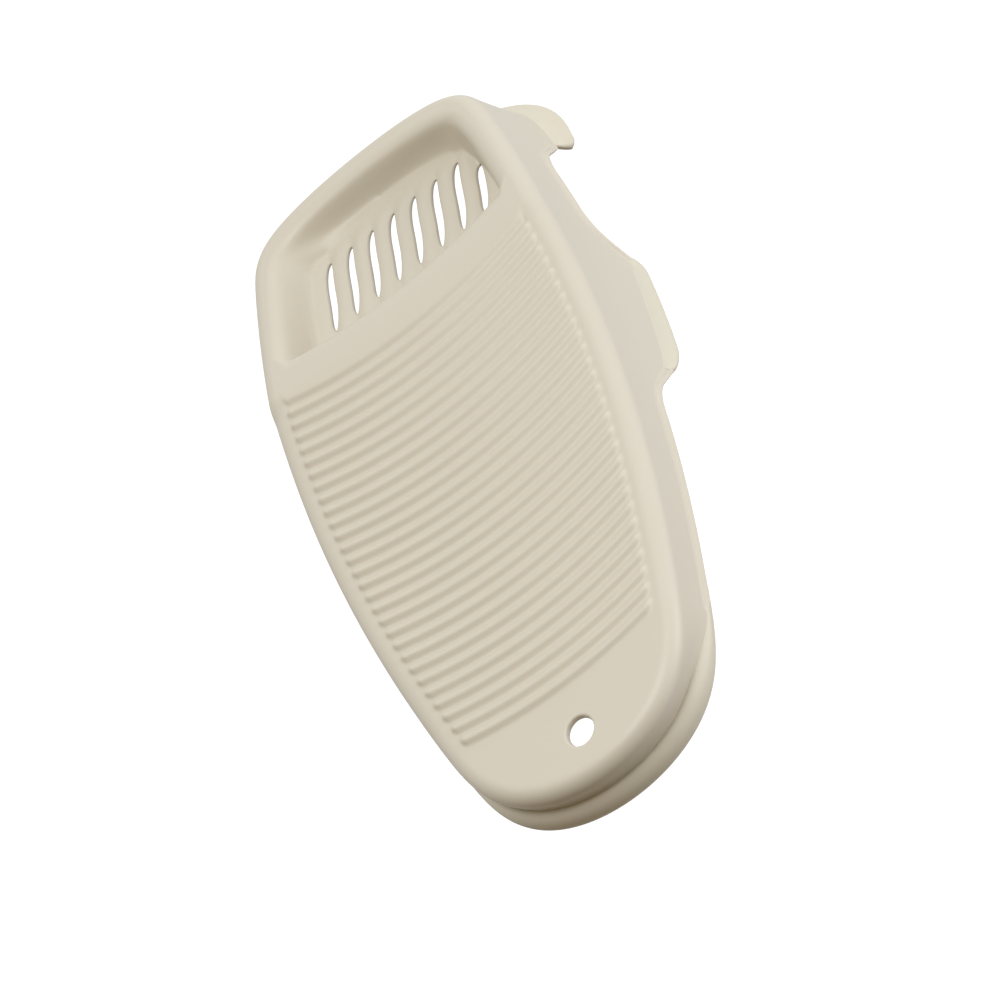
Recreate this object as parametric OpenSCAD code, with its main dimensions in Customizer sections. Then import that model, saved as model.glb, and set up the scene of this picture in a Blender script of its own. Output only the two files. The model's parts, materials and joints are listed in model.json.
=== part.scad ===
// Moulded plastic washboard with a ribbed washing face, a drained soap tray,
// a deep skirt with two lugs, a hooked head end and soft grip pieces.
// Board axes: +X right, +Y towards the head, +Z out of the washing face, which
// lies at z = 0 between its ridges. The part is tilted to stand on its feet.

/* [Washing face] */
// Distance from one wash ridge to the next
pitch = 7; // [6.5:0.1:7.2]
// Number of wash ridges
ridge_count = 28; // [20:1:28]
// Width of one ridge at its base
ridge_w = 5.6; // [4:0.2:6]
// Width of one ridge at its top
ridge_top_w = 1.6; // [1:0.1:2.4]
// Height of the ridges and of the step up to the head end
ridge_h = 1.8; // [1:0.1:2.4]
// Plan radius of the ridges, which bow towards the foot
ridge_bow_r = 195; // [185:5:300]
// Distance from the ridge ends to the edge of the board
ridge_margin = 9; // [8:0.5:14]
// Thickness of the face and of the tray floor
face_t = 2.6; // [2:0.1:3.5]

/* [Board outline] */
// Half of the board's greatest width, at the top of the skirt
half_w = 72.5; // [70:0.5:78]
// Foot end of the board
foot_y = -140; // [-141:0.5:-138]
// Head end of the board
head_y = 208.5; // [206:0.5:212]
// Place along the board where it is widest
wide_y = 61; // [50:1:70]
// Thickness of the skirt
skirt_t = 2.6; // [2:0.1:3.5]

/* [Head end] */
// Place where the head end starts to bend back
bend_y = 101.5; // [101:0.5:103]
// Fall of the head end for each millimetre of length
head_fall = 0.14; // [0.1:0.01:0.16]
// Width of the rim around the soap tray
tray_rim_w = 12.5; // [11:0.5:14]
// Depth of the tray floor below the washing face
tray_depth = 25; // [22:1:27]
// Where the tray begins, on the centre line
tray_foot_y = 119; // [118:0.5:122]

/* [Drain slots] */
// Number of drain slots
slot_count = 8; // [5:1:8]
// Distance between drain slots
slot_pitch = 11.6; // [10:0.1:12]
// Width of a drain slot
slot_w = 4.2; // [3:0.1:4.5]
// Length of a drain slot along the board
slot_len = 30; // [26:1:34]

/* [Skirt and feet] */
// Depth of the skirt at the foot end
foot_drop = 23; // [22:0.5:25]
// Fall of the resting plane for each millimetre of length
rest_fall = 0.122; // [0.11:0.002:0.13]
// Depth of the skirt beside the ridges
skirt_drop = 22; // [20:0.5:23]
// Foot side of the lugs
lug_foot_y = 31; // [28:1:36]
// Head side of the lugs
lug_head_y = 84; // [78:1:88]
// Depth of the skirt between lug and hook
notch_drop = 32.5; // [31:0.5:35]
// Depth of the hooked head end
hook_drop = 52; // [48:1:54]
// Foot side of the hook
hook_y = 168; // [166:1:172]
// How far the hook's grip stands out from the skirt
hook_out = 17; // [12:0.5:18]
// How far the lug's grip stands out from the skirt
lug_out = 10; // [6:0.5:11]
// How far the foot band stands out at the foot end
band_out = 3; // [2.5:0.5:4]
// Height of the grip pieces
grip_h = 6.5; // [5:0.5:8]

/* [Hanging hole] */
// Radius of the hanging hole
hang_r = 5.75; // [5:0.25:7]
// Place of the hanging hole along the board
hang_y = -121.5; // [-123:0.5:-119]

/* [Hidden] */

$fn = 96;
cream = [0.87, 0.84, 0.77];
grip_cream = [0.88, 0.86, 0.78];

// The sides are two long arcs that meet at wide_y.
side_r_foot = 614;
side_r_head = 714;
// The ends are superellipse caps, squarer at the head.
foot_cap_y = -77;
foot_cap_power = 5.2;
head_cap_y = 154;
head_cap_power = 8;
cap_steps = 14;
side_steps = 12;

// Split planes of the skirt, and the reach of cutting blocks
foot_split_y = -92;
far = 400;

// A slot leans right by slot_lean over its length and swings by slot_bow
slot_lean = 8.6;
slot_bow = 0.4;
slot_foot_y = 144;
slot_steps = 12;

// Lengths over which the skirt's edge runs down to a lug and back up
lug_slope_run = 25;
lug_return_run = 14;

// How far the foot band stands out at its two ends
band_side_out = 2.5;
rest_angle = atan(rest_fall);

function side_half(y) =
    half_w - pow(y - wide_y, 2) / (2 * (y < wide_y ? side_r_foot : side_r_head));

function cap_factor(t, power) = sqrt(max(0, 1 - pow(t, power)));

// Half width of the outline moved inwards by inset, at place y
function half_at(y, inset) =
    let (foot_t = (foot_cap_y - y) / (foot_cap_y - foot_y - inset),
         head_t = (y - head_cap_y) / (head_y - inset - head_cap_y),
         full = side_half(y) - inset)
    foot_t > 0 ? full * cap_factor(foot_t, foot_cap_power)
    : head_t > 0 ? full * cap_factor(head_t, head_cap_power)
    : full;

// Places along the board, closer together towards the rounded ends
function outline_ys(inset) = [
    for (i = [0 : cap_steps])
        foot_cap_y - (foot_cap_y - foot_y - inset) * cos(90 * i / cap_steps),
    for (i = [1 : side_steps - 1])
        foot_cap_y + (head_cap_y - foot_cap_y) * i / side_steps,
    for (i = [0 : cap_steps])
        head_cap_y + (head_y - inset - head_cap_y) * sin(90 * i / cap_steps)
];

module outline(inset = 0) {
    ys = outline_ys(inset);
    last = len(ys) - 1;
    polygon(concat(
        [for (i = [0 : last]) [half_at(ys[i], inset), ys[i]]],
        [for (i = [last - 1 : -1 : 1]) [-half_at(ys[i], inset), ys[i]]]));
}

// A slab of the outline from low to high
module slab(low, high, inset = 0) {
    translate([0, 0, low]) linear_extrude(high - low) outline(inset);
}

// The skirt's full ring from low to high
module wall_ring(low, high) {
    difference() {
        slab(low, high);
        slab(low - 1, high + 1, skirt_t);
    }
}

// A side view, drawn in Y and Z, pushed across the board's width
module across(points, x_low = -far / 2, x_high = far / 2) {
    translate([x_low, 0, 0]) rotate([90, 0, 90]) linear_extrude(x_high - x_low) polygon(points);
}

// Underside of the face, which falls towards the head beyond bend_y
function underside(y) = -face_t - head_fall * max(0, y - bend_y);

// Top of the head end, one ridge height above the washing face
function head_top(y) = underside(y) + face_t + ridge_h;

// Resting plane in board axes, through the foot band's lower edge
function rest_z(y) = -foot_drop - rest_fall * (y - foot_y + band_out);

// Plan disc whose edge is the bow of a ridge that ends at place y
module bow_disc(y) {
    half = half_at(y, ridge_margin);
    middle = y - ridge_bow_r + sqrt(pow(ridge_bow_r, 2) - pow(half, 2));
    translate([0, middle + ridge_bow_r]) circle(ridge_bow_r, $fn = 180);
}

// One raised ridge, numbered from the head
module ridge(index) {
    y = ((ridge_count - 1) / 2 - index) * pitch;
    half = half_at(y, ridge_margin);
    middle = y - ridge_bow_r + sqrt(pow(ridge_bow_r, 2) - pow(half, 2));
    intersection() {
        translate([0, middle + ridge_bow_r, 0]) rotate_extrude($fn = 180)
            polygon([[ridge_bow_r - ridge_w / 2, -face_t / 2],
                     [ridge_bow_r + ridge_w / 2, -face_t / 2],
                     [ridge_bow_r + ridge_w / 2, 0],
                     [ridge_bow_r + ridge_top_w / 2, ridge_h],
                     [ridge_bow_r - ridge_top_w / 2, ridge_h],
                     [ridge_bow_r - ridge_w / 2, 0]]);
        translate([-half, middle - pitch, -pitch]) cube([2 * half, 4 * pitch, 2 * pitch]);
    }
}

// The flat face and its ridges, with the hanging hole near its foot
module wash_panel() {
    color(cream) difference() {
        union() {
            difference() {
                slab(-face_t, 0);
                translate([0, 0, -far / 2]) linear_extrude(far) bow_disc(bend_y);
            }
            for (i = [0 : ridge_count - 1]) ridge(i);
        }
        translate([0, hang_y, -far / 2]) cylinder(r = hang_r, h = far);
    }
}

// Plan of the tray's opening, made smaller by inset
module tray_shape(inset = 0) {
    intersection() {
        outline(tray_rim_w + inset);
        translate([0, tray_foot_y + inset + ridge_bow_r])
            circle(ridge_bow_r, $fn = 180);
    }
}

// The inclined rim around the soap tray
module head_frame() {
    color(cream) difference() {
        intersection() {
            slab(-far / 2, far / 2);
            translate([0, 0, -far / 2]) linear_extrude(far) bow_disc(bend_y);
            across([[0, head_top(0)], [bend_y, head_top(bend_y)], [far, head_top(far)],
                    [far, underside(far)], [bend_y, underside(bend_y)], [0, underside(0)]]);
        }
        translate([0, 0, -far / 2]) linear_extrude(far) tray_shape();
    }
}

// Upright wall between the rim and the drain grate
module tray_wall() {
    color(cream) difference() {
        intersection() {
            translate([0, 0, -tray_depth]) linear_extrude(tray_depth) tray_shape(-skirt_t);
            across([[bend_y, -far / 2], [far, -far / 2],
                    [far, underside(far)], [bend_y, underside(bend_y)]]);
        }
        translate([0, 0, -far / 2]) linear_extrude(far) tray_shape();
    }
}

// An S-shaped drain slot that leans to the right
module drain_slot(index) {
    foot_x = (index - (slot_count - 1) / 2) * slot_pitch;
    line = [for (i = [0 : slot_steps])
        let (s = i / slot_steps)
        [foot_x + slot_lean * s + slot_bow * sin(360 * s), slot_foot_y + slot_len * s]];
    polygon(concat(
        [for (i = [0 : slot_steps]) line[i] - [slot_w / 2, 0]],
        [for (i = [slot_steps : -1 : 0]) line[i] + [slot_w / 2, 0]]));
    translate(line[0]) circle(slot_w / 2);
    translate(line[slot_steps]) circle(slot_w / 2);
}

// The soap tray's slotted floor
module drain_grate() {
    color(cream) translate([0, 0, -tray_depth - face_t]) linear_extrude(face_t)
        difference() {
            tray_shape(-skirt_t);
            intersection() {
                for (i = [0 : slot_count - 1]) drain_slot(i);
                tray_shape(skirt_t);
            }
        }
}

// Lower edge of the side skirt, from the foot to the hook
function skirt_edge() = [
    [foot_split_y, -skirt_drop],
    [lug_foot_y - lug_slope_run, -skirt_drop],
    [lug_foot_y, rest_z(lug_foot_y)],
    [lug_head_y, rest_z(lug_head_y)],
    [lug_head_y + lug_return_run, -notch_drop],
    [hook_y, -notch_drop]
];

// Underside of the face and of the inclined rim
function face_underside(low_y, high_y) = [
    [high_y, underside(high_y)],
    if (high_y > bend_y && low_y < bend_y) [bend_y, underside(bend_y)],
    [low_y, underside(low_y)]
];

// Side skirt with its lug
module skirt_right() {
    color(cream) intersection() {
        wall_ring(-far / 2, 0);
        across(concat(skirt_edge(), face_underside(foot_split_y, hook_y)), 0, far / 2);
    }
}

module skirt_left() {
    mirror([1, 0, 0]) skirt_right();
}

// The low wall around the foot end
module foot_wall() {
    color(cream) intersection() {
        wall_ring(-foot_drop, -face_t);
        across([[-far, -foot_drop], [foot_split_y, -foot_drop],
                [foot_split_y, -face_t], [-far, -face_t]]);
    }
}

// The deep wall at the head, which ends in the hook
module head_wall() {
    color(cream) intersection() {
        wall_ring(-hook_drop, 0);
        across([[hook_y, -hook_drop], [far, -hook_drop], [far, underside(far)],
                [hook_y, underside(hook_y)]]);
    }
}

// Crescent-shaped soft foot around the foot wall
module foot_band() {
    color(grip_cream) intersection() {
        difference() {
            translate([0, band_side_out - band_out, 0]) slab(-far / 2, 0, -band_side_out);
            slab(-far, far);
        }
        across([[-far, -foot_drop], [foot_split_y, -foot_drop],
                [foot_split_y, grip_h - foot_drop], [-far, grip_h - foot_drop]]);
    }
}

// Soft grip along the lower edge of a lug
module lug_grip_right() {
    color(grip_cream) intersection() {
        difference() {
            slab(-far / 2, 0, -lug_out);
            slab(-far, far);
        }
        across([[lug_foot_y, rest_z(lug_foot_y)], [lug_head_y, rest_z(lug_head_y)],
                [lug_head_y, rest_z(lug_head_y) + grip_h],
                [lug_foot_y, rest_z(lug_foot_y) + grip_h]], 0, far / 2);
    }
}

module lug_grip_left() {
    mirror([1, 0, 0]) lug_grip_right();
}

// Soft grip around the lower edge of the hook
module hook_grip() {
    color(grip_cream) intersection() {
        difference() {
            slab(-hook_drop, grip_h - hook_drop, -hook_out);
            slab(-far, far);
        }
        across([[hook_y, -far / 2], [far, -far / 2], [far, 0], [hook_y, 0]]);
    }
}

// Puts a piece on its feet, with the resting plane at z = 0 and the origin
// below the middle of the board's length
module stand() {
    foot_end = (foot_y - band_out) * cos(rest_angle) + foot_drop * sin(rest_angle);
    head_end = (head_y + hook_out) * cos(rest_angle) + hook_drop * sin(rest_angle);
    lift = (band_out - foot_y) * sin(rest_angle) + foot_drop * cos(rest_angle);
    translate([0, -(foot_end + head_end) / 2, lift]) rotate([rest_angle, 0, 0]) children();
}

stand() wash_panel();
stand() head_frame();
stand() tray_wall();
stand() drain_grate();
stand() skirt_right();
stand() skirt_left();
stand() foot_wall();
stand() head_wall();
stand() foot_band();
stand() lug_grip_right();
stand() lug_grip_left();
stand() hook_grip();
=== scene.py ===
"""Looks of a moulded plastic washboard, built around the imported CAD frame."""

import json
import math

import bmesh
import bpy
import numpy as np
from mathutils import Matrix, Vector


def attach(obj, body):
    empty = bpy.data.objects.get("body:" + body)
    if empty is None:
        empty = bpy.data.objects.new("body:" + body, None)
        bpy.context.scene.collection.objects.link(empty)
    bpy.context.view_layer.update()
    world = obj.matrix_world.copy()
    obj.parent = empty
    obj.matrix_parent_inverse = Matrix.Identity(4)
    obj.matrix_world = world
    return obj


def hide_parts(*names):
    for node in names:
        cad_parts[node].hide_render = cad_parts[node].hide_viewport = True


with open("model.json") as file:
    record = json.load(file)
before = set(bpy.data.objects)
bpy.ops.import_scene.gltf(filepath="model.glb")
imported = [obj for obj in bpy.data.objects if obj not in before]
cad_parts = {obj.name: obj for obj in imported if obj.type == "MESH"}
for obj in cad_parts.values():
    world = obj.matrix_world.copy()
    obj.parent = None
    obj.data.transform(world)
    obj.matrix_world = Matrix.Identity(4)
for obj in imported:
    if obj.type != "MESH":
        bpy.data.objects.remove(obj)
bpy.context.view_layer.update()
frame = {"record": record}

# Board axes, in millimetres: +X right, +Y to the head, +Z out of the washing face,
# which lies at z = 0 between its ridges. board_matrix() takes them to the frame.
# A name that ends in _Y is a place along the board, one that ends in _RUN is the length
# over which something changes, and a depth is measured down from z = 0.

# Washing face: arched ridges that end RIDGE_MARGIN inside the outline
PITCH = 7.0
RIDGE_COUNT = 28
RIDGE_H = 1.65
RIDGE_BOW_R = 195.0
RIDGE_MARGIN = 8.9
RIDGES_END = RIDGE_COUNT * PITCH / 2
RIDGE_END_RUN = 2.4
RIDGE_END_TAPER = 0.35
FACE_T = 2.6
UNDER_RELIEF = 0.5

# Hanging hole: radii of its rims above and below, and its rings as shares of the way from
# the mesh around it and as turns of its rims in degrees
HANG_Y = -121.5
HANG_R = 5.75
HANG_RIM_R = 0.9
HANG_UNDER_RIM_R = 0.6
HANG_APPROACH = (0.35, 0.7, 1.0)
HANG_TURNS = (22, 45, 68, 90)
HANG_UNDER_TURNS = (90, 45, 0)
HANG_UNDER_APPROACH = 0.5

# Outline at the top of the skirt: two long arcs a side, closed by superellipse caps
HALF_W = 72.5
WIDE_Y = 61.0
SIDE_R_FOOT = 614.0
SIDE_R_HEAD = 714.0
FOOT_Y = -140.2
FOOT_CAP_Y = -77.0
FOOT_CAP_POWER = 5.2
HEAD_Y = 208.5
HEAD_CAP_Y = 154.0
HEAD_CAP_POWER = 8.0
END_CURVE_POINTS = 400
INSET_LIMIT = 60.0
INSET_HALVINGS = 24

# Edge fillet, smaller at the foot. The face ends FACE_INSET inside the outline, and the
# fillet starts a hair further out, so that their points never fall together.
FILLET_R = 7.0
FOOT_FILLET_R = 6.0
FOOT_FILLET_Y = -60.0
FOOT_FILLET_RUN = 50.0
FACE_INSET = 6.3
FILLET_START = 0.02
FILLET_RINGS = 10
INNER_FILLET_RINGS = 4

# Skirt walls: straight draft and a flare that grows with depth
WALL_DRAFT = 0.08
WALL_FLARE = 0.0025
WALL_T = 2.4
WALL_RINGS = 8
INNER_WALL_RINGS = 6
NORMAL_PASSES = 3

# The foot wall falls back by RECESS above the foot band
RECESS = 3.0
RECESS_Y = -95.0
RECESS_RUN = 30.0
RECESS_DEPTH = 6.5
RECESS_DEPTH_RUN = 8.0

# Depth of the skirt's lower edge: y and depth, softened over EDGE_REACH on both sides
SKIRT_EDGE = [(-140, 22.8), (-80, 22.3), (0, 24.2), (8, 26.6), (23, 39.4), (34, 44.0),
              (85, 50.8), (98, 37.0), (104, 33.0), (112, 30.8), (144, 30.7), (154, 33.6),
              (167.5, 47.6), (215, 47.5)]
EDGE_REACH = 3.0
EDGE_SAMPLES = 9

# Plane that the board rests on
FOOT_DROP = 23.0
REST_FOOT_Y = -143.0
REST_FALL = 0.122

# Foot band: it leaves the wall at BAND_DEPTH. Its section runs from the wall (0) to its
# outer face (1), under a top that is BAND_TOP deep at the foot and deeper at the sides.
BAND_END_Y = -87.0
BAND_DEPTH = 16.1
BAND_ROOT = 1.0
BAND_SIDE_OUT = 3.8
BAND_TIP_Y = -143.3
BAND_POWER = 5.2
BAND_TOP = 14.2
BAND_TOP_FALL = 5.8
BAND_TOP_Y = -122.0
BAND_TOP_RUN = 32.0
BAND_LEDGE = 0.2
BAND_SHOULDER = 20.6
BAND_TURNS = (12, 24, 36, 48, 60, 72, 82, 90)
BAND_BACK = 22.6
BAND_EDGE = ((1.0, 21.2), (0.96, 22.4), (0.86, FOOT_DROP))

# Lug grips: full width between two rounded ends, and a crease at their top (y and depth)
LUG_FOOT_Y = 22.0
LUG_FOOT_RUN = 15.0
LUG_HEAD_Y = 90.0
LUG_HEAD_RUN = 11.0
LUG_CREASE = [(24, 32.5), (33, 34.5), (51, 36.5), (64, 38.0), (80, 40.5), (88, 42.0)]
LUG_MIN_H = 4.0
LUG_ABOVE_EDGE = 0.4
LUG_FULL_LOWER = 0.8
LUG_OUT = 10.3
LUG_OUT_GROWTH = 0.9
LUG_OUT_Y = 32.0
LUG_OUT_RUN = 47.0
LUG_FLUSH = 0.1
LUG_MIN_OUT = 0.6
LUG_END_IN = 0.5
LUG_EDGE_R = 1.3

# Hook grip: it leaves the wall at HOOK_DEPTH, and its two ends are rounded noses
HOOK_Y = 166.8
HOOK_DEPTH = 44.5
HOOK_DROP = 52.0
HOOK_HALF_W = 80.4
HOOK_CAP_Y = 175.0
HOOK_TIP_Y = 226.0
HOOK_POWER = 2.38
HOOK_CAP_FROM_Y = 170.0
HOOK_CAP_RUN = 14.0
HOOK_NOSE = 4.0
HOOK_NOSE_RUN = 5.2
HOOK_EDGE_R = 1.1

# Section that the lug and hook lips share
LIP_ROOT = 0.15
LIP_BEND = 0.5
LIP_SAG = 0.3
LIP_BACK = 1.2
LIP_POINTS = 9

# Bead along the skirt's edge, and where it fades out beside a grip
BEAD_OUT = 0.9
BEAD_H = 1.8
BEAD_RISE = 1.0
BEAD_FOOT_Y = -98.0
BEAD_FOOT_RUN = 5.0
BEAD_LUG_FOOT_Y = 24.0
BEAD_LUG_FOOT_RUN = 8.0
BEAD_LUG_HEAD_Y = 90.0
BEAD_LUG_HEAD_RUN = 6.0
BEAD_HOOK_Y = HOOK_Y + 2
BEAD_HOOK_RUN = 5.0
# Sections as height and width: the bead's (above BEAD_H, and a share of BEAD_OUT), then
# the skirt's edge out from the bead, and out from the wall's inside. The bead's last ring
# comes again as the edge's first one, which keeps a fine crease in the bead's shading.
BEAD_SECTION = ((0.95, 0.2), (0.65, 0.62), (0.35, 0.92), (0.0, 1.0), (-0.9, 1.0))
EDGE_OUTSIDE = ((0.9, 0.0), (0.3, -0.25), (0.0, -0.9))
EDGE_INSIDE = ((0.0, 0.7), (0.4, 0.1))

# Head end: a step like half a ridge, softer near the sides, then a soft bend
STEP_SIDE_RUN = 3.0
STEP_STRETCH = 2.5
STEP_SHIFT = 0.3
BEND_Y = 102.2
BEND_SOFT = 3.0
HEAD_FALL = 0.14

# Soap tray: its side walls start at an inset from the outline (top) and reach its floor at
# another (crease), which grows towards the head. The foot wall has a draft in degrees.
TRAY_FLOOR_Z = -24.5
TRAY_EDGE_R = 7.0
TRAY_TOP = 12.3
TRAY_HEAD_TOP_MORE = 1.6
TRAY_LEFT_CREASE = 19.4
TRAY_LEFT_DRIFT = 0.1
TRAY_LEFT_Y = 144.0
TRAY_RIGHT_CREASE = 16.5
TRAY_RIGHT_MORE = 2.9
TRAY_RIGHT_Y = 160.0
TRAY_RIGHT_RUN = 22.0
TRAY_HEAD_CREASE = 18.8
TRAY_HEAD_Y = 182.0
TRAY_HEAD_RUN = 9.0
TRAY_FOOT_R = 10.5
TRAY_FOOT_Y = 116.0
TRAY_FOOT_DRAFT = 15.0
TRAY_CORNER_BLEND = 7.0
TRAY_FLOOR_BLEND = 1.0
TRAY_FLOOR_BLEND_MORE = 3.5
TRAY_BLEND_Y = 172.0
TRAY_BLEND_RUN = 14.0
TRAY_REACH_Y = TRAY_FOOT_Y - 20

# Drain slots, the ribs between them, and the thinner floor beside them
SLOT_COUNT = 8
SLOT_PITCH = 11.6
SLOT_SHIFT = 0.3
SLOT_HALF_W = 2.1
SLOT_END_POWER = 4
SLOT_END_SHARE = 0.06
SLOT_FOOT_Y = 141.75
SLOT_HEAD_Y = 175.7
SLOT_LAST_HEAD_Y = 166.0
SLOT_LEAN = 8.6
SLOT_BOW = 0.4
SLOT_OVERRUN = 0.1
RIB_H = 2.0
RIB_POWER = 1.2
RIB_SINK = 0.3
RIB_HEAD_REACH = 9.0
RIB_HEAD_RUN = 12.0
RIB_FOOT_REACH = 12.0
RIB_FOOT_RUN = 8.0
FLOOR_SOFT = 3.0
SLOT_THINNING = 1.3
SLOT_THINNING_RUN = 2.5

# Rows of the face mesh: where its row curves change from one shape to the next, and how
# many rows each stretch has
FOOT_CORNER_Y = -123.0
HEAD_CORNER_Y = 195.0
FOOT_ROWS = 26
ROWS_PER_RIDGE = 10
BEYOND_RIDGES = ((0.5 * PITCH, 6), (18, 12), (35, 23))
STRAIGHTENING_ROWS = 13
SLOT_ROWS = 30
LAST_SLOT_ROWS = (1.0, 0.4, 0.0)
LAST_SLOT_CLEAR = (1.5, 0.5)
HEAD_ROWS = 27
ROW_TOLERANCE = 0.01

# Columns of the face mesh: fixed steps at the margin, and five columns to a slot. They
# follow the slots between FOLLOW_FOOT_Y and FOLLOW_HEAD_Y, and are evenly spread elsewhere.
MARGIN_STEPS = np.array([0, 0.6, 1.2, 1.8, 2.4, 3.0, 3.6, 4.3, 5.1, 6.0, 7.0, 8.1, 9.2])
SIDE_COLUMNS = 7
GAP_COLUMNS = 6
SLOT_COLUMN_GAPS = 4
SLOT_LIP = 0.6
SLOT_CLEAR = 1.0
CELL_SPARE = 0.9
CELL_SHARE = 0.1
FOLLOW_FOOT_Y = 112.0
FOLLOW_HEAD_Y = 204.0
FOLLOW_RUN = 22.0


def board_matrix():
    """From board millimetres to the frame, worked out from the hanging hole's place and axis."""
    mount = next(m for m in frame["record"]["mounts"] if m["name"] == "hanging_hole")
    up = Vector(mount["axis"]).normalized()
    along = Vector((0, up.z, -up.y))
    turn = Matrix((Vector((1, 0, 0)), along, up)).transposed().to_4x4()
    hole = Vector((0, HANG_Y, -FACE_T / 2))
    return (Matrix.Translation(Vector(mount["pos_m"])) @ turn
            @ Matrix.Scale(0.001, 4) @ Matrix.Translation(-hole))


BOARD = board_matrix()


# ---------------------------------------------------------------- plain maths
def smooth(t):
    """0 up to t = 0, 1 from t = 1, and an S-curve in between."""
    t = np.clip(t, 0.0, 1.0)
    return t * t * (3 - 2 * t)


def soft_max(a, b, width):
    """The greater of a and b, rounded over where they differ by less than width."""
    return np.maximum(a, b) + np.maximum(width - np.abs(a - b), 0) ** 2 / (4 * width)


def rounded_line(points, y, reach):
    """Straight lines between points, averaged over reach on both sides of y."""
    xs, values = zip(*points)
    shifts = np.linspace(-reach, reach, EDGE_SAMPLES)
    return sum(np.interp(y + shift, xs, values) for shift in shifts) / len(shifts)


def side_half(y):
    """Half width of the outline's long arcs at y, without its caps."""
    radius = np.where(y < WIDE_Y, SIDE_R_FOOT, SIDE_R_HEAD)
    return HALF_W - (y - WIDE_Y) ** 2 / (2 * radius)


def half_at(y, inset):
    """Half width of the outline moved inwards by inset, at place y."""
    foot_t = (FOOT_CAP_Y - y) / (FOOT_CAP_Y - FOOT_Y - inset)
    head_t = (y - HEAD_CAP_Y) / (HEAD_Y - inset - HEAD_CAP_Y)
    foot = np.sqrt(np.maximum(0, 1 - np.clip(foot_t, 0, 1) ** FOOT_CAP_POWER))
    head = np.sqrt(np.maximum(0, 1 - np.clip(head_t, 0, 1) ** HEAD_CAP_POWER))
    return (side_half(y) - inset) * foot * head


def end_curve(x, tip, corner):
    """The outline's y at half width x, between its tip and the corner of its cap."""
    turns = np.linspace(0, math.pi / 2, END_CURVE_POINTS)
    ys = tip + (corner - tip) * (1 - np.cos(turns))
    return np.interp(x, half_at(ys, FACE_INSET), ys)


def inset_of(x, y):
    """How far inside the outline a point lies, by halving."""
    low = np.zeros_like(x)
    high = np.full_like(x, INSET_LIMIT)
    for _ in range(INSET_HALVINGS):
        middle = (low + high) / 2
        inside = np.abs(x) < half_at(y, middle)
        low = np.where(inside, middle, low)
        high = np.where(inside, high, middle)
    return low


# ------------------------------------------------------------- the face's grid
def slot_line(index, y):
    """The x of a drain slot's middle line, which is an S that leans to the right."""
    length = SLOT_HEAD_Y - SLOT_FOOT_Y
    s = np.clip((y - SLOT_FOOT_Y) / length, -SLOT_OVERRUN, 1 + SLOT_OVERRUN)
    if index == SLOT_COUNT - 1:
        s = np.minimum(s, (SLOT_LAST_HEAD_Y - SLOT_FOOT_Y) / length)
    foot_x = (index - (SLOT_COUNT - 1) / 2) * SLOT_PITCH + SLOT_SHIFT
    return foot_x + SLOT_LEAN * s + SLOT_BOW * np.sin(2 * math.pi * np.clip(s, 0, 1))


def slot_head_y(index):
    """Where a drain slot ends. The last one is shorter."""
    return SLOT_LAST_HEAD_Y if index == SLOT_COUNT - 1 else SLOT_HEAD_Y


def slot_half(index, y):
    """Half width of a drain slot at y, rounded at its ends and never quite closed."""
    middle = (SLOT_FOOT_Y + slot_head_y(index)) / 2
    t = np.abs(y - middle) / ((slot_head_y(index) - SLOT_FOOT_Y) / 2)
    share = np.maximum(SLOT_END_SHARE, 1 - np.clip(t, 0, 1) ** SLOT_END_POWER)
    return SLOT_HALF_W * np.sqrt(share)


def ridge_row_end(place):
    """The y where a row that follows the ridges meets the face's edge."""
    reach = half_at(place, RIDGE_MARGIN)
    wider = reach + RIDGE_MARGIN - FACE_INSET
    return place + (wider ** 2 - reach ** 2) / (2 * RIDGE_BOW_R)


def ridge_places():
    """Places in the ridge pattern of the rows from the first ridge to the tray."""
    stops = [-RIDGES_END, RIDGES_END] + [RIDGES_END + past for past, _ in BEYOND_RIDGES]
    counts = [RIDGE_COUNT * ROWS_PER_RIDGE] + [count for _, count in BEYOND_RIDGES]
    spans = [np.linspace(first, last, count + 1)[:-1]
             for first, last, count in zip(stops, stops[1:], counts)]
    return np.concatenate(spans + [stops[-1:]])


def slot_rows():
    """The y of the rows through the slots, close together at both ends. The last slot's end
    has rows of its own, which take the place of those near it."""
    wave = (1 - np.cos(np.linspace(0, math.pi, SLOT_ROWS + 1))) / 2
    rows = np.round(SLOT_FOOT_Y + wave * (SLOT_HEAD_Y - SLOT_FOOT_Y), 3)
    before, after = LAST_SLOT_CLEAR
    near = (rows >= SLOT_LAST_HEAD_Y - before) & (rows <= SLOT_LAST_HEAD_Y + after)
    own = SLOT_LAST_HEAD_Y - np.array(LAST_SLOT_ROWS)
    return np.sort(np.concatenate([rows[~near], own]))


def face_rows():
    """One row of the grid per entry: its end's y, the share of the ridges' bow, the shares of
    the foot's and the head's outline, and the place it has in the ridge pattern."""
    rows = []
    for t in np.linspace(0, 1, FOOT_ROWS + 1)[:-1]:
        end = FOOT_CORNER_Y + t * (ridge_row_end(-RIDGES_END) - FOOT_CORNER_Y)
        rows.append((end, t, 1 - t, 0.0, -RIDGES_END))
    places = ridge_places()
    rows += [(float(ridge_row_end(place)), 1.0, 0.0, 0.0, place) for place in places]
    tray_end = rows[-1][0]
    for t in np.linspace(0, 1, STRAIGHTENING_ROWS + 1)[1:-1]:
        end = tray_end + t * (SLOT_FOOT_Y - tray_end)
        rows.append((end, 1 - t, 0.0, 0.0, places[-1]))
    rows += [(y, 0.0, 0.0, 0.0, places[-1]) for y in slot_rows()]
    for t in np.linspace(0, 1, HEAD_ROWS + 1)[1:]:
        end = SLOT_HEAD_Y + t * (HEAD_CORNER_Y - SLOT_HEAD_Y)
        rows.append((end, 0.0, 0.0, t, places[-1]))
    return [np.array(column) for column in zip(*rows)]


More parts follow.
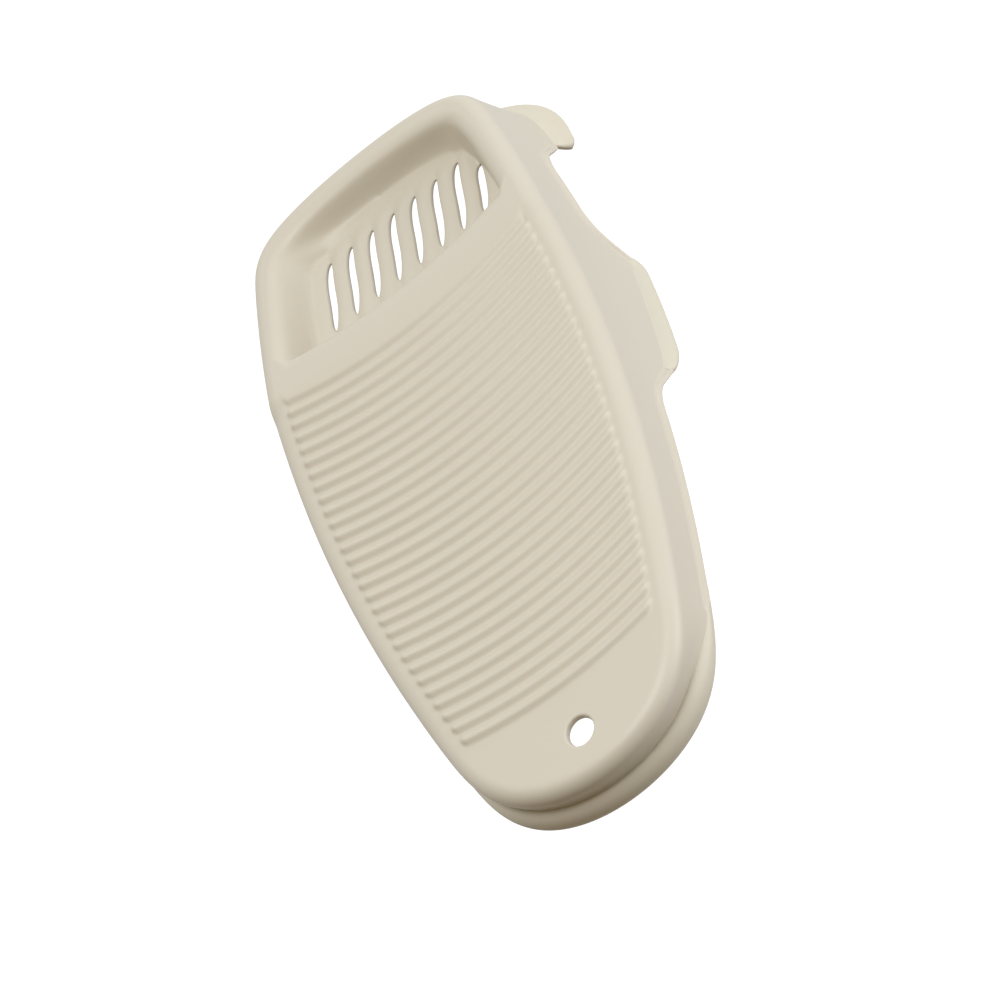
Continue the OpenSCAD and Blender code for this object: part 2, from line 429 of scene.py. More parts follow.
def face_columns(end_x, end_y, middle_y):
    """The x of every column of one row. Near the drain slots the columns follow the slots."""
    inner = end_x - MARGIN_STEPS[-1]
    cell = 2 * inner / (SLOT_COUNT + CELL_SPARE)
    follow = smooth((middle_y - FOLLOW_FOOT_Y) / FOLLOW_RUN)
    follow *= smooth((FOLLOW_HEAD_Y - middle_y) / FOLLOW_RUN)
    edges = []
    for k in range(SLOT_COUNT):
        plain = (k - (SLOT_COUNT - 1) / 2) * cell
        line = plain + follow * (float(slot_line(k, end_y)) - plain)
        width = (1 - follow) * CELL_SHARE * cell + follow * float(slot_half(k, end_y))
        line = min(line, inner - width - SLOT_LIP - SLOT_CLEAR)
        edges.append([line - width - SLOT_LIP, line - width, line,
                      line + width, line + width + SLOT_LIP])
    xs = list(-end_x + MARGIN_STEPS)
    xs += list(np.linspace(xs[-1], edges[0][0], SIDE_COLUMNS + 1)[1:-1])
    for k, edge in enumerate(edges):
        xs += edge
        if k + 1 < SLOT_COUNT:
            xs += list(np.linspace(edge[-1], edges[k + 1][0], GAP_COLUMNS + 1)[1:-1])
    xs += list(np.linspace(xs[-1], inner, SIDE_COLUMNS + 1)[1:-1])
    xs += list(end_x - MARGIN_STEPS[::-1])
    return xs


def face_grid():
    """Plan of the grid: x and y of each point, and each row's place in the ridge pattern."""
    end_y, bow, foot, head, place = face_rows()
    end_x = half_at(end_y, FACE_INSET)
    foot_tip, head_tip = FOOT_Y + FACE_INSET, HEAD_Y - FACE_INSET
    foot_x, head_x = end_x[0], end_x[-1]
    middle_y = (end_y - bow * end_x ** 2 / (2 * RIDGE_BOW_R)
                + foot * (foot_tip - end_y[0]) + head * (head_tip - end_y[-1]))
    x = np.array([face_columns(*row) for row in zip(end_x, end_y, middle_y)])
    s = x / end_x[:, None]
    arc = (x ** 2 - end_x[:, None] ** 2) / (2 * RIDGE_BOW_R)
    foot_curve = end_curve(np.abs(s) * foot_x, foot_tip, end_y[0]) - end_y[0]
    head_curve = end_curve(np.abs(s) * head_x, head_tip, end_y[-1]) - end_y[-1]
    y = (end_y[:, None] + bow[:, None] * arc + foot[:, None] * foot_curve
         + head[:, None] * head_curve)
    return x, y, np.repeat(place[:, None], x.shape[1], axis=1)


# --------------------------------------------------------- heights of the face
def ridge_height(x, place):
    """Height of the wash ridges, rounded at both ends."""
    wave = 0.5 - 0.5 * np.cos(2 * math.pi * place / PITCH)
    wave = np.where(np.abs(place) < RIDGES_END, wave, 0)
    reach = half_at(place, RIDGE_MARGIN)
    run = (reach - np.abs(x)) / RIDGE_END_RUN + 0.5 - RIDGE_END_TAPER * (1 - wave)
    return RIDGE_H * wave * smooth(run)


def rim_height(x, y, place):
    """The plain face and, beyond a step like half a ridge, the falling head end. The step
    grows soft where it nears the board's sides."""
    beyond = np.abs(x) - half_at(place, RIDGE_MARGIN)
    softness = smooth(beyond / STEP_SIDE_RUN + 0.5)
    run = PITCH / 2 * (1 + STEP_STRETCH * softness)
    step = smooth((place - RIDGES_END) / run + STEP_SHIFT * softness)
    ramp = y - BEND_Y
    return RIDGE_H * step - HEAD_FALL * (ramp + np.sqrt(ramp ** 2 + BEND_SOFT ** 2)) / 2


def fillet_drop(distance, radius, turn):
    """Drop below a plane of a fillet that starts at distance 0 and turns into a slope."""
    run = radius * np.sin(turn)
    arc = radius - np.sqrt(np.maximum(radius ** 2 - np.clip(distance, 0, run) ** 2, 0))
    return arc + np.maximum(distance - run, 0) * np.tan(turn)


def tray_height(x, y, rim):
    """The soap tray's walls and floor, pressed into the rim."""
    inset = inset_of(x, y)
    headward = smooth((y - TRAY_HEAD_Y) / TRAY_HEAD_RUN)
    top = TRAY_TOP + TRAY_HEAD_TOP_MORE * headward
    left = TRAY_LEFT_CREASE + TRAY_LEFT_DRIFT * (np.minimum(y, TRAY_HEAD_Y) - TRAY_LEFT_Y)
    right = TRAY_RIGHT_CREASE + TRAY_RIGHT_MORE * smooth((y - TRAY_RIGHT_Y) / TRAY_RIGHT_RUN)
    crease = (1 - headward) * np.where(x < 0, left, right) + headward * TRAY_HEAD_CREASE
    turn = np.arctan((rim - TRAY_FLOOR_Z) / (crease - top))
    side = fillet_drop(inset - top + TRAY_EDGE_R * np.tan(turn / 2), TRAY_EDGE_R, turn)
    middle = TRAY_FOOT_Y + RIDGE_BOW_R
    inward = RIDGE_BOW_R - np.hypot(x, y - middle)
    foot_turn = math.radians(90 - TRAY_FOOT_DRAFT)
    foot_start = TRAY_FOOT_R * math.tan(foot_turn / 2)
    foot = fillet_drop(inward + foot_start, TRAY_FOOT_R, foot_turn)
    wall = rim - np.maximum(0, -soft_max(-side, -foot, TRAY_CORNER_BLEND))
    headmost = smooth((y - TRAY_BLEND_Y) / TRAY_BLEND_RUN)
    blend = TRAY_FLOOR_BLEND + TRAY_FLOOR_BLEND_MORE * headmost
    return soft_max(wall, np.full_like(wall, TRAY_FLOOR_Z), blend)


def in_floor(plain):
    """1 on the tray's floor, fading out up its walls."""
    return smooth((TRAY_FLOOR_Z + FLOOR_SOFT - plain) / FLOOR_SOFT)


def slot_ribs(x, y):
    """Soft ribs between the drain slots, with a crease along each slot's line."""
    lines = np.array([slot_line(k, y) for k in range(SLOT_COUNT)])
    gap = np.min(np.abs(x - lines), axis=0) / (SLOT_PITCH / 2)
    rib = np.sin(np.clip(gap, 0, 1) * math.pi / 2) ** RIB_POWER
    head = smooth((SLOT_HEAD_Y + RIB_HEAD_REACH - y) / RIB_HEAD_RUN)
    foot = smooth((y - SLOT_FOOT_Y + RIB_FOOT_REACH) / RIB_FOOT_RUN)
    return RIB_H * rib * (head * foot)


def face_heights(x, y, place):
    """Heights of the smooth face, and what its ridges and ribs add."""
    rim = rim_height(x, y, place)
    plain = np.where(y > TRAY_REACH_Y, np.minimum(rim, tray_height(x, y, rim)), rim)
    return plain, ridge_height(x, place) + in_floor(plain) * (slot_ribs(x, y) - RIB_SINK)


def slot_thinning(x, y, plain):
    """How much the underside rises towards each drain slot's line."""
    lines = np.array([slot_line(k, y) for k in range(SLOT_COUNT)])
    beside = np.min(np.abs(x - lines), axis=0) - SLOT_HALF_W
    return SLOT_THINNING * (1 - smooth(beside / SLOT_THINNING_RUN)) * in_floor(plain)


def normals_of(grid):
    """Unit normals of a grid of points."""
    across = np.gradient(grid, axis=1)
    along = np.gradient(grid, axis=0)
    normal = np.cross(across, along)
    return normal / np.linalg.norm(normal, axis=2, keepdims=True)


# ------------------------------------------------------------------ the skirt
def edge_drop(y):
    """Depth of the skirt's lower edge at y."""
    return rounded_line(SKIRT_EDGE, y, EDGE_REACH)


def wall_offset(depth):
    """How far the wall stands outside the outline at a depth; it flares as it goes down."""
    return WALL_DRAFT * depth + WALL_FLARE * depth ** 2


def foot_recess(depth, y):
    """How far the foot wall falls back below the fillet, above the foot band."""
    down = np.clip((depth - RECESS_DEPTH) / RECESS_DEPTH_RUN, 0, 1)
    return RECESS * smooth((RECESS_Y - y) / RECESS_RUN) * down


def bead_size(y):
    """The bead along the skirt's edge fades out where a grip takes its place."""
    foot = smooth((y - BEAD_FOOT_Y) / BEAD_FOOT_RUN)
    lug_foot = smooth((y - BEAD_LUG_FOOT_Y) / BEAD_LUG_FOOT_RUN)
    lug_head = smooth((BEAD_LUG_HEAD_Y - y) / BEAD_LUG_HEAD_RUN)
    hook = smooth((BEAD_HOOK_Y - y) / BEAD_HOOK_RUN)
    return BEAD_OUT * foot * (1 - lug_foot * lug_head) * hook


def rim_loop(x, y):
    """Grid indices of the face's edge, and its outward normals in plan."""
    rows, columns = x.shape
    loop = [(0, j) for j in range(columns - 1)]
    loop += [(i, columns - 1) for i in range(rows - 1)]
    loop += [(rows - 1, j) for j in range(columns - 1, 0, -1)]
    loop += [(i, 0) for i in range(rows - 1, 0, -1)]
    i, j = np.array(loop).T
    points = np.stack([x[i, j], y[i, j]], axis=1)
    run = np.roll(points, -1, axis=0) - np.roll(points, 1, axis=0)
    normal = np.stack([run[:, 1], -run[:, 0]], axis=1)
    normal /= np.linalg.norm(normal, axis=1, keepdims=True)
    for _ in range(NORMAL_PASSES):
        normal = (np.roll(normal, 1, axis=0) + 2 * normal + np.roll(normal, -1, axis=0)) / 4
    normal /= np.linalg.norm(normal, axis=1, keepdims=True)
    return i, j, points, normal


def stack(points, normal, offset, z):
    """Points of the face's edge, moved to an offset outside the outline and to height z."""
    plan = points + normal * (np.asarray(offset) + FACE_INSET)[..., None]
    return np.concatenate([plan, np.broadcast_to(z, plan.shape[:1])[:, None]], axis=1)


def skirt_rings(points, normal, top_z):
    """The skirt's rings from the face's edge, down the outside, and up the inside."""
    # The wall's lower edge stands about twice FACE_INSET outside the face's edge
    y = points[:, 1] + normal[:, 1] * 2 * FACE_INSET
    drop = edge_drop(y)
    bead = bead_size(y)
    end_turn = math.pi / 2 - math.atan(WALL_DRAFT)
    flat = FILLET_R * math.sin(end_turn) - FACE_INSET
    footward = smooth((FOOT_FILLET_Y - points[:, 1]) / FOOT_FILLET_RUN)
    radius = FILLET_R + (FOOT_FILLET_R - FILLET_R) * footward
    fillet_z = top_z - radius * (1 - math.cos(end_turn))
    lean = flat - wall_offset(-fillet_z)
    rings = []
    for turn in np.linspace(0, end_turn, FILLET_RINGS):
        out = flat - radius * (math.sin(end_turn) - np.sin(turn)) + FILLET_START
        rings.append(stack(points, normal, out, top_z - radius * (1 - np.cos(turn))))

    def wall(depth, out):
        share = np.clip((depth + fillet_z) / (drop + fillet_z), 0, 1)
        offset = wall_offset(depth) - foot_recess(depth, points[:, 1]) + out
        return stack(points, normal, offset + lean * (1 - share) ** 2, -depth)

    bead_top = drop - BEAD_H - BEAD_RISE
    for share in np.linspace(0, 1, WALL_RINGS + 1)[1:]:
        rings.append(wall(-fillet_z + share * (bead_top + fillet_z), 0))
    for up, out in BEAD_SECTION:
        rings.append(wall(drop - BEAD_H - up, bead * out))
    for up, out in EDGE_OUTSIDE:
        rings.append(wall(drop - up, bead + out))
    for up, out in EDGE_INSIDE:
        rings.append(wall(drop - up, out - WALL_T))
    inner = drop - EDGE_INSIDE[-1][0]
    for share in np.linspace(0, 1, INNER_WALL_RINGS + 1)[1:]:
        rings.append(wall(inner - share * (inner + fillet_z), -WALL_T))
    inner_r = radius - WALL_T
    for turn in np.linspace(end_turn, 0, INNER_FILLET_RINGS + 2)[1:-1]:
        out = flat - WALL_T - inner_r * (math.sin(end_turn) - np.sin(turn))
        rings.append(stack(points, normal, out,
                           top_z - WALL_T - inner_r * (1 - np.cos(turn))))
    return rings


# ------------------------------------------------------------ mesh bookkeeping
class Sheet:
    """Collects points and faces of one piece."""

    def __init__(self):
        self.points = []
        self.faces = []
        self.count = 0

    def add(self, points):
        """Takes points in board millimetres, and returns their indices."""
        points = np.asarray(points, float).reshape(-1, 3)
        self.points.append(points)
        self.count += len(points)
        return np.arange(self.count - len(points), self.count)

    def quads(self, grid, keep=None):
        """Faces between neighbouring rows and columns of a grid of indices."""
        faces = np.stack([grid[:-1, :-1], grid[:-1, 1:], grid[1:, 1:], grid[1:, :-1]], axis=2)
        faces = faces.reshape(-1, 4) if keep is None else faces[keep]
        self.faces += faces.tolist()

    def build(self, name, material):
        """Makes the object in the frame, without points that no face uses."""
        mesh = bpy.data.meshes.new(name)
        mesh.from_pydata(np.concatenate(self.points).tolist(), [], self.faces)
        mesh.transform(BOARD)
        work = bmesh.new()
        work.from_mesh(mesh)
        unused = [point for point in work.verts if not point.link_faces]
        bmesh.ops.delete(work, geom=unused, context="VERTS")
        bmesh.ops.recalc_face_normals(work, faces=work.faces)
        work.to_mesh(mesh)
        work.free()
        mesh.polygons.foreach_set("use_smooth", [True] * len(mesh.polygons))
        mesh.materials.append(material)
        piece = bpy.data.objects.new(name, mesh)
        bpy.context.scene.collection.objects.link(piece)
        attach(piece, "root")
        return piece


def closed(loop):
    """A ring of indices with its first one repeated at the end."""
    return np.concatenate([loop, loop[:1]])


def hole_block(x, y):
    """Rows and columns of the grid's block that the hanging hole's rings replace."""
    near = np.hypot(x, y - HANG_Y) < HANG_R + HANG_RIM_R
    rows = np.flatnonzero(near.any(axis=1))
    columns = np.flatnonzero(near.any(axis=0))
    return rows[0] - 1, rows[-1] + 1, columns[0] - 1, columns[-1] + 1


def block_loop(top, bottom, left, right):
    """Grid indices once round the edge of a block."""
    loop = [(top, j) for j in range(left, right)]
    loop += [(i, right) for i in range(top, bottom)]
    loop += [(bottom, j) for j in range(right, left, -1)]
    loop += [(i, left) for i in range(bottom, top, -1)]
    return np.array(loop).T


def hanging_hole(sheet, upper, lower, x, y, under_z):
    """Rings from the grid's block down through the hole, with rounded rims."""
    i, j = block_loop(*hole_block(x, y))
    plan = np.stack([x[i, j], y[i, j] - HANG_Y], axis=1)
    away = plan / np.linalg.norm(plan, axis=1, keepdims=True)
    outer_r = HANG_R + HANG_RIM_R

    def ring(flat, z):
        return np.column_stack([flat[:, 0], flat[:, 1] + HANG_Y, np.full(len(flat), z)])

    loops = [upper[i, j]]
    for share in HANG_APPROACH:
        loops.append(sheet.add(ring(plan + share * (away * outer_r - plan), 0.0)))
    for turn in np.radians(HANG_TURNS):
        radius = outer_r - HANG_RIM_R * np.sin(turn)
        loops.append(sheet.add(ring(away * radius, -HANG_RIM_R * (1 - np.cos(turn)))))
    for turn in np.radians(HANG_UNDER_TURNS):
        radius = outer_r - HANG_UNDER_RIM_R - HANG_UNDER_RIM_R * np.sin(turn)
        z = under_z + HANG_UNDER_RIM_R * (1 - np.cos(turn))
        loops.append(sheet.add(ring(away * radius, z)))
    share = HANG_UNDER_APPROACH
    loops.append(sheet.add(ring(plan + share * (away * outer_r - plan), under_z)))
    loops.append(lower[i, j])
    sheet.quads(np.array([closed(loop) for loop in loops]))


# ------------------------------------------------------------------ materials
def node_material(name, colour, other, roughness, grain, bump):
    """Moulded plastic: slow drifts of colour and of gloss, and a fine grain."""
    material = bpy.data.materials.new(name)
    material.use_nodes = True
    nodes, links = material.node_tree.nodes, material.node_tree.links
    shader = nodes["Principled BSDF"]
    shader.inputs["IOR"].default_value = 1.49
    place = nodes.new("ShaderNodeTexCoord")
    drift = nodes.new("ShaderNodeTexNoise")
    drift.inputs["Scale"].default_value = 14.0
    drift.inputs["Detail"].default_value = 4.0
    links.new(place.outputs["Object"], drift.inputs["Vector"])
    ramp = nodes.new("ShaderNodeValToRGB")
    ramp.color_ramp.elements[0].position = 0.3
    ramp.color_ramp.elements[0].color = (*colour, 1)
    ramp.color_ramp.elements[1].position = 0.75
    ramp.color_ramp.elements[1].color = (*other, 1)
    links.new(drift.outputs["Fac"], ramp.inputs["Fac"])
    links.new(ramp.outputs["Color"], shader.inputs["Base Color"])
    gloss = nodes.new("ShaderNodeTexNoise")
    gloss.inputs["Scale"].default_value = 60.0
    gloss.inputs["Detail"].default_value = 5.0
    links.new(place.outputs["Object"], gloss.inputs["Vector"])
    spread = nodes.new("ShaderNodeMapRange")
    spread.inputs["To Min"].default_value = roughness - 0.05
    spread.inputs["To Max"].default_value = roughness + 0.07
    links.new(gloss.outputs["Fac"], spread.inputs["Value"])
    links.new(spread.outputs["Result"], shader.inputs["Roughness"])
    fine = nodes.new("ShaderNodeTexNoise")
    fine.inputs["Scale"].default_value = grain
    fine.inputs["Detail"].default_value = 3.0
    links.new(place.outputs["Object"], fine.inputs["Vector"])
    relief = nodes.new("ShaderNodeBump")
    relief.inputs["Strength"].default_value = bump
    relief.inputs["Distance"].default_value = 0.0002
    links.new(fine.outputs["Fac"], relief.inputs["Height"])
    links.new(relief.outputs["Normal"], shader.inputs["Normal"])
    return material


# ---------------------------------------------------------------- the moulding
def build_moulding(material):
    """The shell: face, underside, slots, hanging hole and skirt, as one closed mesh. Returns
    the points of the face's edge and its outward directions, which the grips start from."""
    x, y, place = face_grid()
    plain, relief = face_heights(x, y, place)
    top = np.stack([x, y, plain + relief], axis=2)
    base = np.stack([x, y, plain], axis=2)
    normal = normals_of(base)
    under = base - normal * FACE_T
    under[:, :, 2] += UNDER_RELIEF * relief + slot_thinning(x, y, plain)

    sheet = Sheet()
    rows, columns = x.shape
    upper = sheet.add(top).reshape(rows, columns)
    lower = sheet.add(under).reshape(rows, columns)
    keep = np.ones((rows - 1, columns - 1), bool)
    first_row, last_row, first_column, last_column = hole_block(x, y)
    keep[first_row:last_row, first_column:last_column] = False
    slot_column = len(MARGIN_STEPS) - 1 + SIDE_COLUMNS
    slot_loops = []
    for k in range(SLOT_COUNT):
        left = slot_column + k * (SLOT_COLUMN_GAPS + GAP_COLUMNS) + 1
        inside = y[:, left] > SLOT_FOOT_Y - ROW_TOLERANCE
        inside &= y[:, left] < slot_head_y(k) + ROW_TOLERANCE
        open_rows = np.flatnonzero(inside)
        keep[open_rows[0]:open_rows[-1], left:left + 2] = False
        slot_loops.append(block_loop(open_rows[0], open_rows[-1], left, left + 2))
    sheet.quads(upper, keep)
    sheet.quads(lower, keep)
    for i, j in slot_loops:
        sheet.quads(np.array([closed(upper[i, j]), closed(lower[i, j])]))
    hanging_hole(sheet, upper, lower, x, y, float(under[first_row, first_column, 2]))

    i, j, points, outward = rim_loop(x, y)
    rings = [upper[i, j]]
    rings += [sheet.add(ring) for ring in skirt_rings(points, outward, plain[i, j])]
    rings.append(lower[i, j])
    sheet.quads(np.array([closed(ring) for ring in rings]))
    piece = sheet.build("moulding", material)
    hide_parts("wash_panel", "head_frame", "tray_wall", "drain_grate", "skirt_right",
                "skirt_left", "foot_wall", "head_wall")
    return points, outward


# ------------------------------------------------------------------- the grips
def swept_lip(name, sections, material, *nodes):
    """A closed lip through its cross-sections, each a ring of points."""
    sheet = Sheet()
    rings = [closed(sheet.add(section)) for section in sections]
    sheet.quads(np.array(rings))
    sheet.faces.append(rings[0][:-1].tolist())
    sheet.faces.append(rings[-1][:-1].tolist())
    piece = sheet.build(name, material)
    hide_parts(*nodes)


def lip_ring(start, outer, start_depth, bottom, edge_r, sheet_like):
    """Cross-section of a lip that leaves the wall at start and turns out to its rounded edge.
    A sheet-like lip is as thick as its edge; any other is filled down to its bottom."""
    reach = np.linalg.norm(outer - start)
    along = (outer - start) / reach
    bend = LIP_BEND * (bottom - start_depth)
    first = np.array((-LIP_ROOT, start_depth))
    middle = np.array((LIP_SAG * bend, start_depth + bend))
    centre = np.array((reach - edge_r, bottom - edge_r))
    tilt = math.atan2(centre[1] - middle[1], centre[0] - middle[0])
    last = centre + edge_r * np.array((math.sin(tilt), -math.cos(tilt)))
    ts = np.linspace(0, 1, LIP_POINTS)[:, None]
    upper = (1 - ts) ** 2 * first + 2 * ts * (1 - ts) * middle + ts ** 2 * last
    slope = 2 * (1 - ts) * (middle - first) + 2 * ts * (last - middle)
    slope /= np.linalg.norm(slope, axis=1, keepdims=True)
    stop = tilt + math.pi / 2 if sheet_like else math.pi / 2
    turns = np.linspace(tilt - math.pi / 2, stop, LIP_POINTS)[1:]
    nose = centre + edge_r * np.column_stack([np.cos(turns), np.sin(turns)])
    if sheet_like:
        inward = np.column_stack([-slope[:, 1], slope[:, 0]])
        under = (upper + 2 * edge_r * inward)[-2::-1]
    else:
        under = np.array([(-LIP_BACK, bottom), (-LIP_BACK, start_depth)])
    profile = np.concatenate([upper, nose, under])
    plan = start + profile[:, :1] * along
    return np.column_stack([plan, -profile[:, 1]])


def cap_share(point, cap_y, tip_y, power):
    """The term t ** power of a cap's formula, at a point of the face's edge."""
    return float(np.clip((point[1] - cap_y) / (tip_y - cap_y), 0, 1)) ** power


def rest_depth(y):
    """Depth of the flat surface that the board rests on."""
    return FOOT_DROP + REST_FALL * (y - REST_FOOT_Y)


def rounded_end(distance, run):
    """Share of full size near a rounded end: 0 at the end, 1 from a run inside it."""
    return math.sqrt(max(0, 1 - max(0, (run - distance) / run) ** 2))


def build_lug_grip(name, side, points, normal, material):
    """The lip along the lower edge of the lug on one side, 1 for right and -1 for left."""
    along = (points[:, 1] > LUG_FOOT_Y) & (points[:, 1] < LUG_HEAD_Y)
    chosen = along & (points[:, 0] * side > 0)
    sections = []
    for point, out in zip(points[chosen], normal[chosen]):
        y = point[1]
        share = rounded_end(y - LUG_FOOT_Y, LUG_FOOT_RUN)
        share *= rounded_end(LUG_HEAD_Y - y, LUG_HEAD_RUN)
        edge = float(edge_drop(y)) - LUG_ABOVE_EDGE + LUG_FULL_LOWER * share
        # out[1] allows for the fall of the resting plane across the lip's width
        bottom = min(rest_depth(y) + out[1], edge)
        crease = min(float(np.interp(y, *zip(*LUG_CREASE))), bottom - LUG_MIN_H)
        full = LUG_OUT + LUG_OUT_GROWTH * (y - LUG_OUT_Y) / LUG_OUT_RUN
        flush = wall_offset(bottom) + LUG_FLUSH
        outer = flush + max(full - flush, LUG_MIN_OUT) * share - LUG_END_IN * (1 - share)
        sections.append(lip_ring(point + out * (wall_offset(crease) + FACE_INSET),
                                 point + out * (outer + FACE_INSET),
                                 crease, bottom, LUG_EDGE_R, False))
    swept_lip(name, sections, material, name)


def build_hook_grip(points, normal, material):
    """The lip round the hook, from its right end to its left end."""
    start_at = int(np.argmax((points[:, 1] > HOOK_Y) & (points[:, 0] > 0)))
    order = np.arange(start_at, len(points))
    sections = []
    for k in order[points[order, 1] > HOOK_Y]:
        rest = cap_share(points[k], HEAD_CAP_Y, HEAD_Y - FACE_INSET, HEAD_CAP_POWER)
        cap_y = HOOK_CAP_Y + (HOOK_TIP_Y - HOOK_CAP_Y) * rest ** (1 / HOOK_POWER)
        y = float(points[k, 1])
        blend = float(smooth((y - HOOK_CAP_FROM_Y) / HOOK_CAP_RUN))
        y += blend * (cap_y - y)
        nose_t = min(max((HOOK_Y + HOOK_NOSE_RUN - y) / HOOK_NOSE_RUN, 0), 1)
        nose = HOOK_NOSE * (1 - math.sqrt(1 - nose_t ** 2))
        half = HOOK_HALF_W * math.sqrt(1 - rest) - nose
        outer = np.array((math.copysign(half, points[k, 0]), y))
        start = points[k] + normal[k] * (wall_offset(HOOK_DEPTH) + FACE_INSET)
        sections.append(lip_ring(start, outer, HOOK_DEPTH, HOOK_DROP, HOOK_EDGE_R, True))
    swept_lip("hook_grip", sections, material, "hook_grip")


def build_foot_band(points, normal, material):
    """The lip round the foot, from its left end to its right end."""
    order = np.flatnonzero(points[:, 1] < BAND_END_Y)
    left = order[points[order, 0] < 0]
    right = order[points[order, 0] >= 0]
    left = left[np.argsort(-points[left, 1])]
    right = right[np.argsort(points[right, 1])]
    sections = []
    for k in np.concatenate([left, right]):
        rest = cap_share(points[k], FOOT_CAP_Y, FOOT_Y + FACE_INSET, FOOT_CAP_POWER)
        y = FOOT_CAP_Y + (BAND_TIP_Y - FOOT_CAP_Y) * rest ** (1 / BAND_POWER)
        half = (float(side_half(y)) + BAND_SIDE_OUT) * math.sqrt(1 - rest)
        outer = np.array((math.copysign(half, points[k, 0]), y))
        inward = BAND_ROOT + float(foot_recess(BAND_DEPTH, points[k, 1]))
        start = points[k] + normal[k] * (wall_offset(BAND_DEPTH) + FACE_INSET - inward)
        sideward = float(smooth((points[k, 1] - BAND_TOP_Y) / BAND_TOP_RUN))
        top = BAND_TOP + BAND_TOP_FALL * sideward
        profile = [(0.0, BAND_BACK), (0.0, top), (BAND_LEDGE, top)]
        profile += [(BAND_LEDGE + (1 - BAND_LEDGE) * math.sin(turn),
                     top + (BAND_SHOULDER - top) * (1 - math.cos(turn)))
                    for turn in np.radians(BAND_TURNS)]
        profile += BAND_EDGE
        plan = [start + share * (outer - start) for share, _ in profile]
        sections.append([(at[0], at[1], -depth) for at, (_, depth) in zip(plan, profile)])
    swept_lip("foot_band", sections, material, "foot_band")


# -------------------------------------------------------------- camera, lights
CAMERA_PLACE = (348.726, -801.668, 874.594)
CAMERA_RIGHT = (0.76440951, -0.30036935, -0.57048782)
CAMERA_DOWN = (-0.58137758, -0.70363797, -0.40852628)
CAMERA_LENS = 117.95
CAMERA_SENSOR = 36.0
BRIGHT_SIDE = (0.45, 0.89, 0.0)
FLOOR_HALF = 6.0


def add_camera():
    """The camera, whose place and axes are given in the board's own axes."""
    data = bpy.data.cameras.new("camera")
    data.lens = CAMERA_LENS
    data.sensor_width = CAMERA_SENSOR
    data.clip_end = 20.0
    camera = bpy.data.objects.new("camera", data)
    bpy.context.scene.collection.objects.link(camera)
    turn = BOARD.to_3x3().normalized()
    right = turn @ Vector(CAMERA_RIGHT)
    up = turn @ -Vector(CAMERA_DOWN)
    axes = Matrix((right, up, right.cross(up))).transposed()
    camera.matrix_world = Matrix.Translation(BOARD @ Vector(CAMERA_PLACE)) @ axes.to_4x4()
    bpy.context.scene.camera = camera


def add_light(name, place, size, power, colour):
    """A square soft light that looks at the board's middle."""
    data = bpy.data.lights.new(name, "AREA")
    data.size = size
    data.energy = power
    data.color = colour
    light = bpy.data.objects.new(name, data)
    bpy.context.scene.collection.objects.link(light)
    light.location = place
    light.rotation_euler = (-Vector(place)).to_track_quat("-Z", "Y").to_euler()


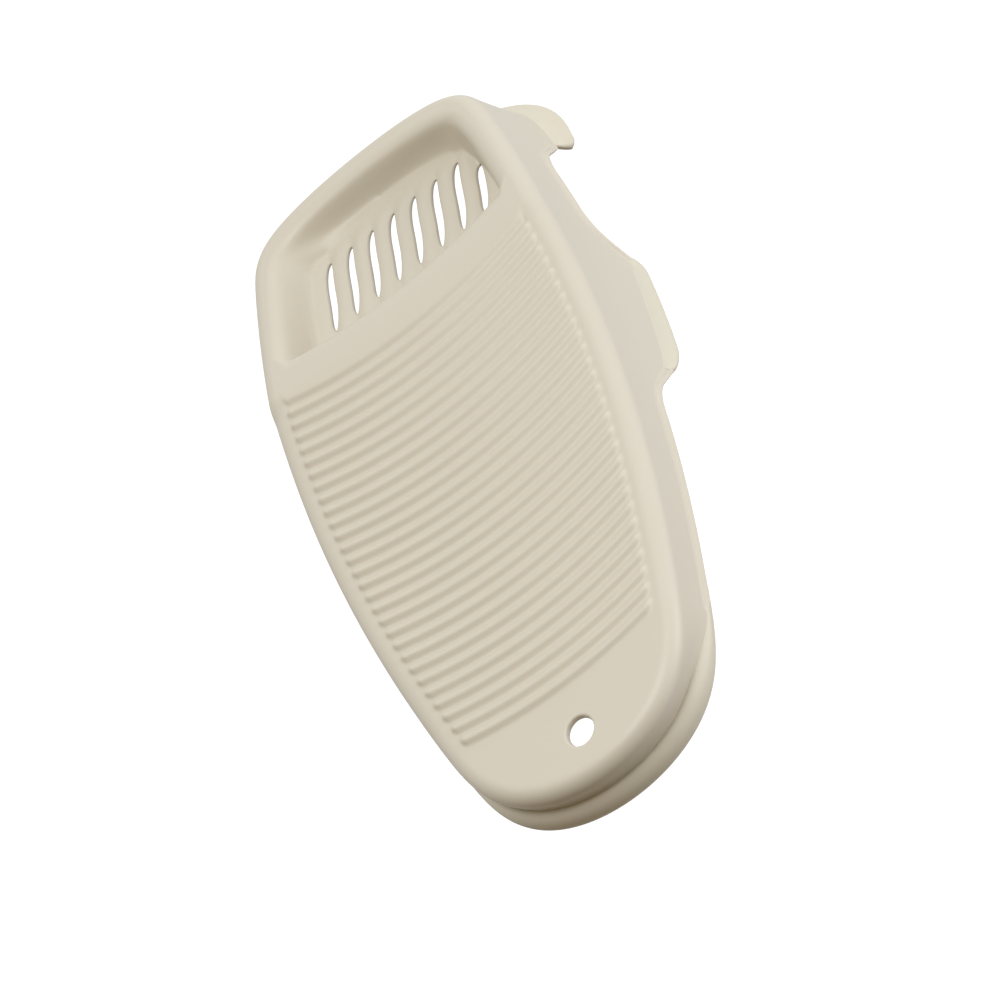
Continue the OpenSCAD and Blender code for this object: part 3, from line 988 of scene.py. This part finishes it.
def add_world():
    """Even light from all round but for a dark, warm patch beyond the foot end, to its left."""
    world = bpy.data.worlds.new("studio")
    bpy.context.scene.world = world
    world.use_nodes = True
    nodes, links = world.node_tree.nodes, world.node_tree.links
    background = nodes["Background"]
    background.inputs["Strength"].default_value = 0.80
    place = nodes.new("ShaderNodeTexCoord")
    side = nodes.new("ShaderNodeVectorMath")
    side.operation = "DOT_PRODUCT"
    side.inputs[1].default_value = BRIGHT_SIDE
    links.new(place.outputs["Generated"], side.inputs[0])
    spread = nodes.new("ShaderNodeMapRange")
    spread.inputs["From Min"].default_value = -1.0
    links.new(side.outputs["Value"], spread.inputs["Value"])
    ramp = nodes.new("ShaderNodeValToRGB")
    ramp.color_ramp.elements[0].position = 0.1
    ramp.color_ramp.elements[0].color = (0.05, 0.025, 0.01, 1)
    ramp.color_ramp.elements[1].position = 1.0
    ramp.color_ramp.elements[1].color = (0.88, 0.88, 0.88, 1)
    ramp.color_ramp.elements.new(0.25).color = (0.52, 0.35, 0.13, 1)
    ramp.color_ramp.elements.new(0.36).color = (1.0, 1.0, 1.0, 1)
    links.new(spread.outputs["Result"], ramp.inputs["Fac"])
    links.new(ramp.outputs["Color"], background.inputs["Color"])


def add_floor():
    """A plain white ground that takes no shadow and lends the board no light."""
    mesh = bpy.data.meshes.new("floor")
    corners = [(x * FLOOR_HALF, y * FLOOR_HALF, 0) for x, y in ((-1, -1), (1, -1), (1, 1), (-1, 1))]
    mesh.from_pydata(corners, [], [(0, 1, 2, 3)])
    material = bpy.data.materials.new("floor_white")
    material.use_nodes = True
    shader = material.node_tree.nodes["Principled BSDF"]
    shader.inputs["Base Color"].default_value = (0.0, 0.0, 0.0, 1)
    shader.inputs["Roughness"].default_value = 0.9
    shader.inputs["Emission Color"].default_value = (1, 1, 1, 1)
    shader.inputs["Emission Strength"].default_value = 1.1
    mesh.materials.append(material)
    floor = bpy.data.objects.new("floor", mesh)
    bpy.context.scene.collection.objects.link(floor)
    floor.visible_diffuse = False
    floor.visible_glossy = False


add_camera()
plastic = node_material("cream_moulding", colour=(0.640, 0.601, 0.502),
                        other=(0.655, 0.615, 0.515), roughness=0.42, grain=2600.0, bump=0.25)
grip = node_material("cream_grip", colour=(0.655, 0.620, 0.510),
                     other=(0.670, 0.635, 0.525), roughness=0.55, grain=3400.0, bump=0.35)
edge_points, edge_normals = build_moulding(plastic)
build_lug_grip("lug_grip_right", 1, edge_points, edge_normals, grip)
build_lug_grip("lug_grip_left", -1, edge_points, edge_normals, grip)
build_hook_grip(edge_points, edge_normals, grip)
build_foot_band(edge_points, edge_normals, grip)
add_light("key", place=(1.9, -0.15, 0.15), size=0.9, power=15.2, colour=(1.0, 0.99, 1.06))
add_light("top", place=(0.1, -0.38, 2.2), size=1.0, power=19.6, colour=(1.0, 1.0, 1.0))
add_world()
add_floor()
bpy.context.scene.view_settings.view_transform = "Standard"
